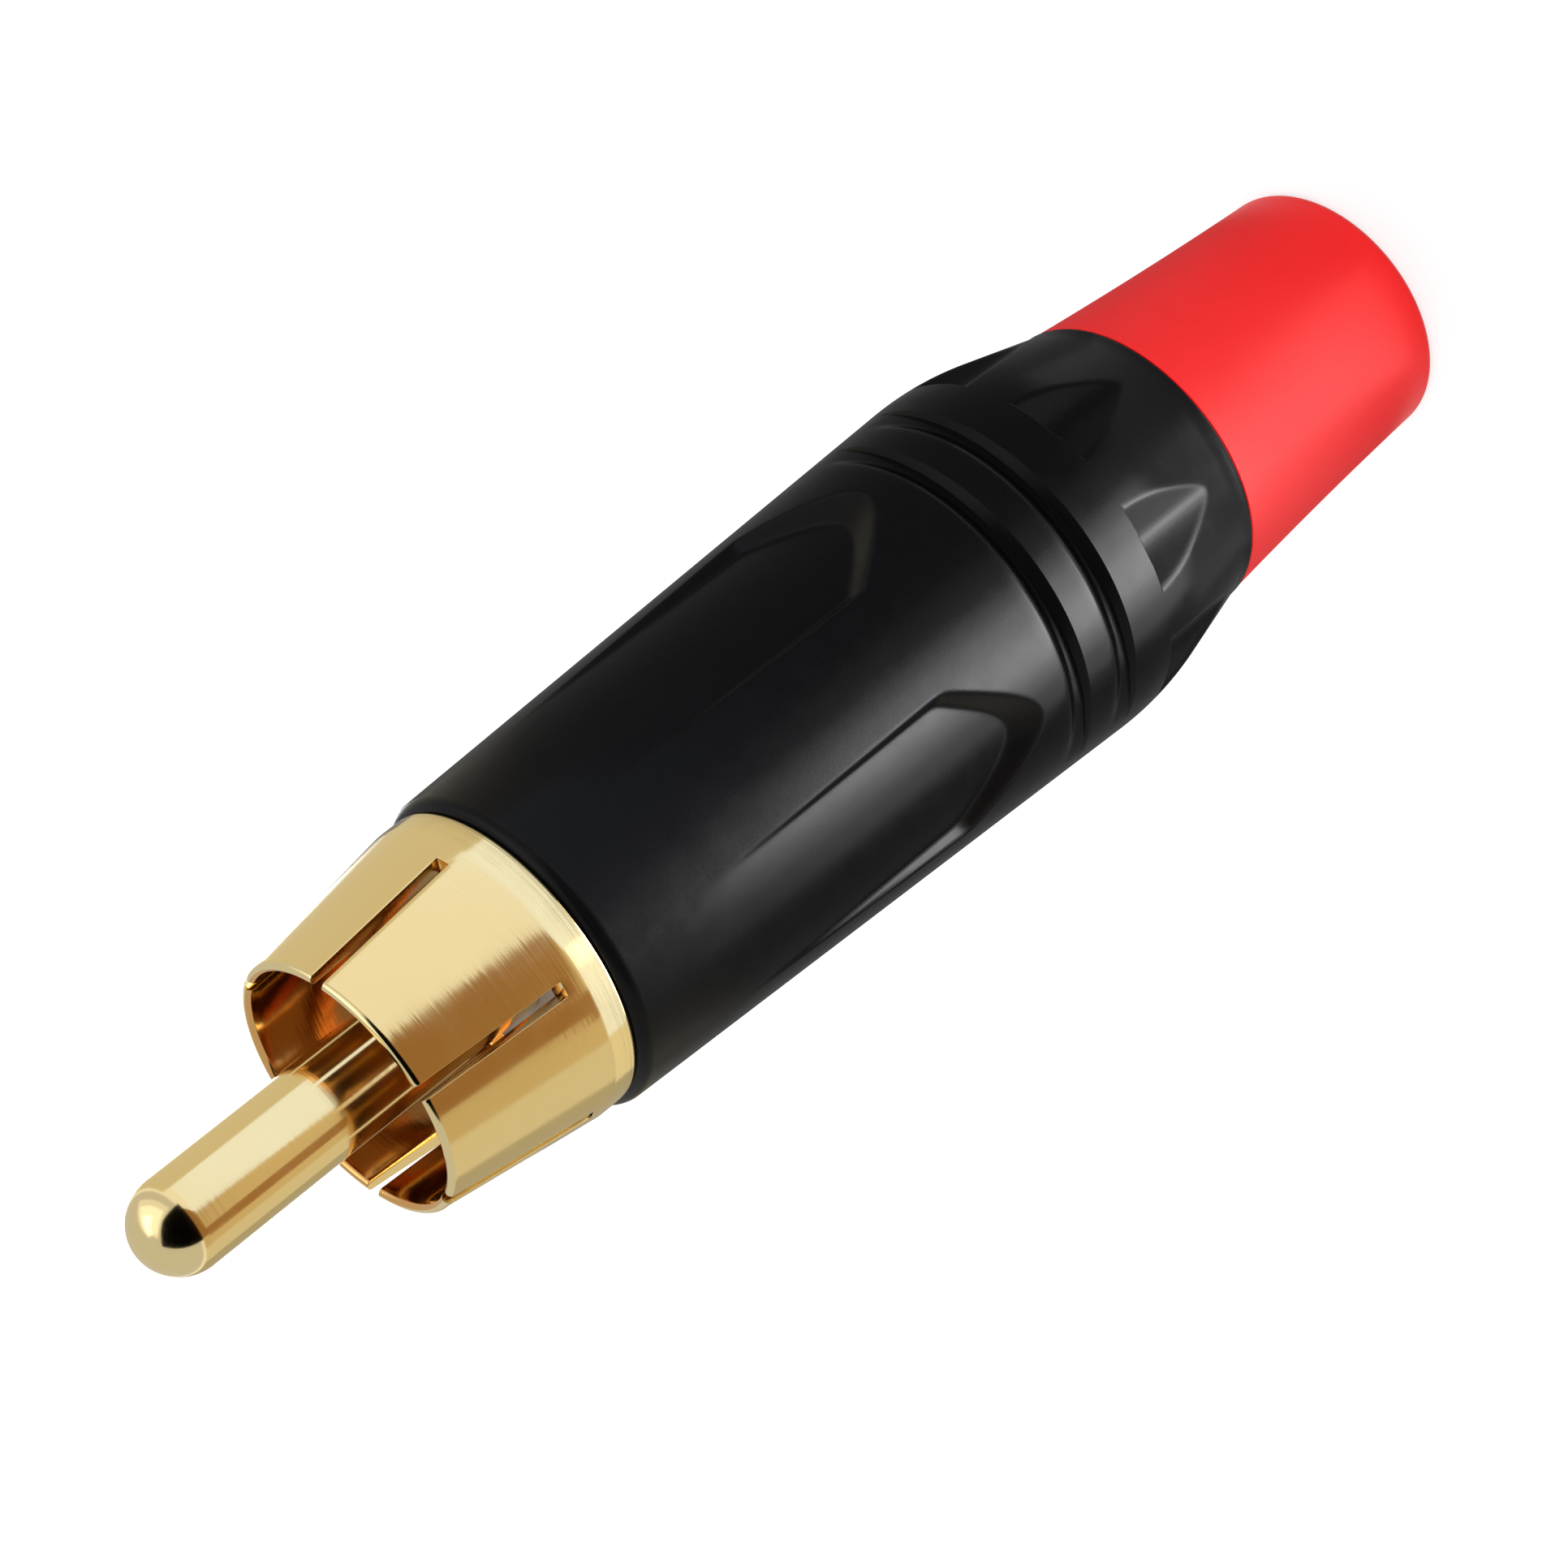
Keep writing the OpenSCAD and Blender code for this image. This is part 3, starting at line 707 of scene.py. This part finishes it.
def card(name, low, high, colour, strength):
    """A glowing card between two edges round the plug, seen only in reflections.

    An edge is (radius, height, first azimuth, last azimuth). Azimuth is from -Y, positive towards -X.
    """
    steps = 24
    points = []
    for k in range(steps + 1):
        for r, z, first, last in (low, high):
            a = math.radians(first + (last - first) * k / steps)
            points.append((-r * math.sin(a), -r * math.cos(a), z))
    faces = [(2 * k, 2 * k + 1, 2 * k + 3, 2 * k + 2) for k in range(steps)]
    material, tree, shader = node_tree(name)
    shader.inputs["Base Color"].default_value = (0, 0, 0, 1)
    shader.inputs["Specular IOR Level"].default_value = 0.0
    shader.inputs["Emission Color"].default_value = (*colour, 1)
    shader.inputs["Emission Strength"].default_value = strength
    piece = stage_piece(name, points, faces, material)
    piece.visible_camera = False
    piece.visible_diffuse = False
    piece.visible_transmission = False
    piece.visible_shadow = False


def softbox(name, place, target, size, radiance):
    """A rectangular lamp whose face has that radiance."""
    light = bpy.data.lights.new(name, "AREA")
    light.shape = "RECTANGLE"
    light.size = size[0] * MM
    light.size_y = size[1] * MM
    light.energy = radiance * math.pi * light.size * light.size_y
    lamp = bpy.data.objects.new(name, light)
    bpy.context.scene.collection.objects.link(lamp)
    lamp.location = Vector(place) * MM
    lamp.rotation_mode = "QUATERNION"
    lamp.rotation_quaternion = (Vector(target) - Vector(place)).to_track_quat("-Z", "Y")
    lamp.visible_camera = False
    lamp.visible_glossy = False
    return lamp


FLOOR_HALF = 20000.0
floor_corners = [(x * FLOOR_HALF, y * FLOOR_HALF, 0) for x, y in ((-1, -1), (1, -1), (1, 1), (-1, 1))]
stage_piece("floor", floor_corners, [(0, 1, 2, 3)], floor_material(albedo=0.40, lift=0.66))

world = bpy.data.worlds.new("studio")
bpy.context.scene.world = world
world.use_nodes = True
sky = world.node_tree.nodes["Background"]
sky.inputs["Color"].default_value = (1, 1, 1, 1)
sky.inputs["Strength"].default_value = 0.6

softbox("front_box", (-15, -300, 220), (0, 0, 25), (640, 160), 3.3)
softbox("back_box", (0, 170, 300), (0, 110, 0), (420, 300), 2.2)

WHITE = (1.0, 1.0, 1.0)
COOL = (0.85, 0.93, 1.10)
PALE = (1.0, 0.92, 0.72)
BRONZE = (1.0, 0.80, 0.48)
BROWN = (1.0, 0.51, 0.18)
SCREEN_R = 85.0

# Upright screens: name, low and high edge as (height, first azimuth, last azimuth), colour, strength
for name, low, high, colour, strength in (
    ("foot_bright", (0.5, -74, 82), (9, -74, 82), COOL, 1.17),
    ("middle_bright", (9, -74, 22), (24, -74, 4), COOL, 1.09),
    ("middle_bronze", (9, 22, 44), (24, 4, 44), BRONZE, 0.62),
    ("middle_brown", (9, 44, 64), (24, 44, 64), BROWN, 0.34),
    ("middle_grey", (9, 64, 82), (24, 64, 82), BRONZE, 0.62),
    ("top_bright", (24, -74, 2), (46, -74, -20), WHITE, 0.92),
    ("top_brown", (24, 2, 58), (46, -20, 58), BROWN, 0.31),
    ("top_grey", (24, 58, 82), (46, 58, 82), BRONZE, 0.58),
    ("left_grey", (0.5, -150, -74), (46, -150, -74), PALE, 0.66),
    ("right_grey", (0.5, 82, 118), (46, 82, 118), PALE, 0.68),
    ("right_dim", (0.5, 118, 165), (46, 118, 165), PALE, 0.44),
    ("high_dark", (46, -32, 60), (125, -32, 60), WHITE, 0.0),
    ("high_peak", (125, -32, 60), (340, 30, 60), WHITE, 0.0),
    ("high_bright", (74, -116, -38), (460, -110, 4), WHITE, 0.86),
):
    card(name, (SCREEN_R, *low), (SCREEN_R, *high), colour, strength)

# Smaller screens in front of these: the same, with how far in front
for name, front, low, high, colour, strength in (
    ("foot_hot", 1, (0.5, 16, 30), (7, 16, 30), WHITE, 2.0),
    ("foot_right", 1, (0.5, 82, 125), (7, 82, 125), PALE, 0.84),
    ("high_glow", 1, (92, -108, -44), (400, -100, -6), WHITE, 1.2),
    ("high_hot", 2, (126, -98, -50), (340, -92, -28), WHITE, 2.0),
):
    card(name, (SCREEN_R - front, *low), (SCREEN_R - front, *high), colour, strength)

# On the floor round the plug: a dark panel, a grey ring for the rear taper and a light one for the boot
card("floor_dark", (5.6, 0.2, -180, 180), (105, 0.2, -180, 180), WHITE, 0.22)
card("taper_grey", (10.5, 0.3, -90, 100), (17.5, 0.3, -90, 100), WHITE, 0.7)
card("boot_key", (5.6, 0.4, -8, 52), (10.5, 0.4, 1, 61), WHITE, 4.0)

# Key light in strips on the floor, in front and behind: name, inner and outer radius, azimuths, strength.
# At its inner edge a strip leans back, as the plug's skin is nearer to it than its axis.
KEY_REACH = (17.5, 68)
REAR_REACH = (112, 400)
STRIP_Z = 0.4
STRIP_LEAN = 4
for name, (inner, outer), first, last, strength in (
    ("key_faint", KEY_REACH, -10, 10, 1.0),
    ("key_first", KEY_REACH, 10, 20, 6.8),
    ("key_rise", KEY_REACH, 20, 34, 15.0),
    ("key_crest", KEY_REACH, 34, 56, 23.0),
    ("key_fall", KEY_REACH, 56, 66, 10.0),
    ("key_last", KEY_REACH, 66, 82, 3.5),
    ("rear_rise", REAR_REACH, -186, -176, 3.0),
    ("rear_crest", REAR_REACH, -176, -158, 7.0),
    ("rear_fall", REAR_REACH, -158, -150, 3.0),
):
    inner_edge = (inner, STRIP_Z, first - STRIP_LEAN, last - STRIP_LEAN)
    card(name, inner_edge, (outer, STRIP_Z, first, last), WHITE, strength)

# Camera, as fitted to the photograph
camera_data = bpy.data.cameras.new("camera")
camera_data.sensor_width = 36.0
camera_data.lens = 106.84
camera_data.clip_start = 0.005
camera = bpy.data.objects.new("camera", camera_data)
bpy.context.scene.collection.objects.link(camera)
camera.rotation_mode = "QUATERNION"
camera_place = Vector((0.0, -129.1, 98.72))
camera_aim = Vector((-1.04, 0.0, 28.35))
camera_roll = math.radians(128.7)
camera.location = camera_place * MM
turn = (camera_aim - camera_place).to_track_quat("-Z", "Y")
camera.rotation_quaternion = turn @ Quaternion((0, 0, 1), -camera_roll)
bpy.context.scene.camera = camera
bpy.context.scene.view_settings.view_transform = "Standard"
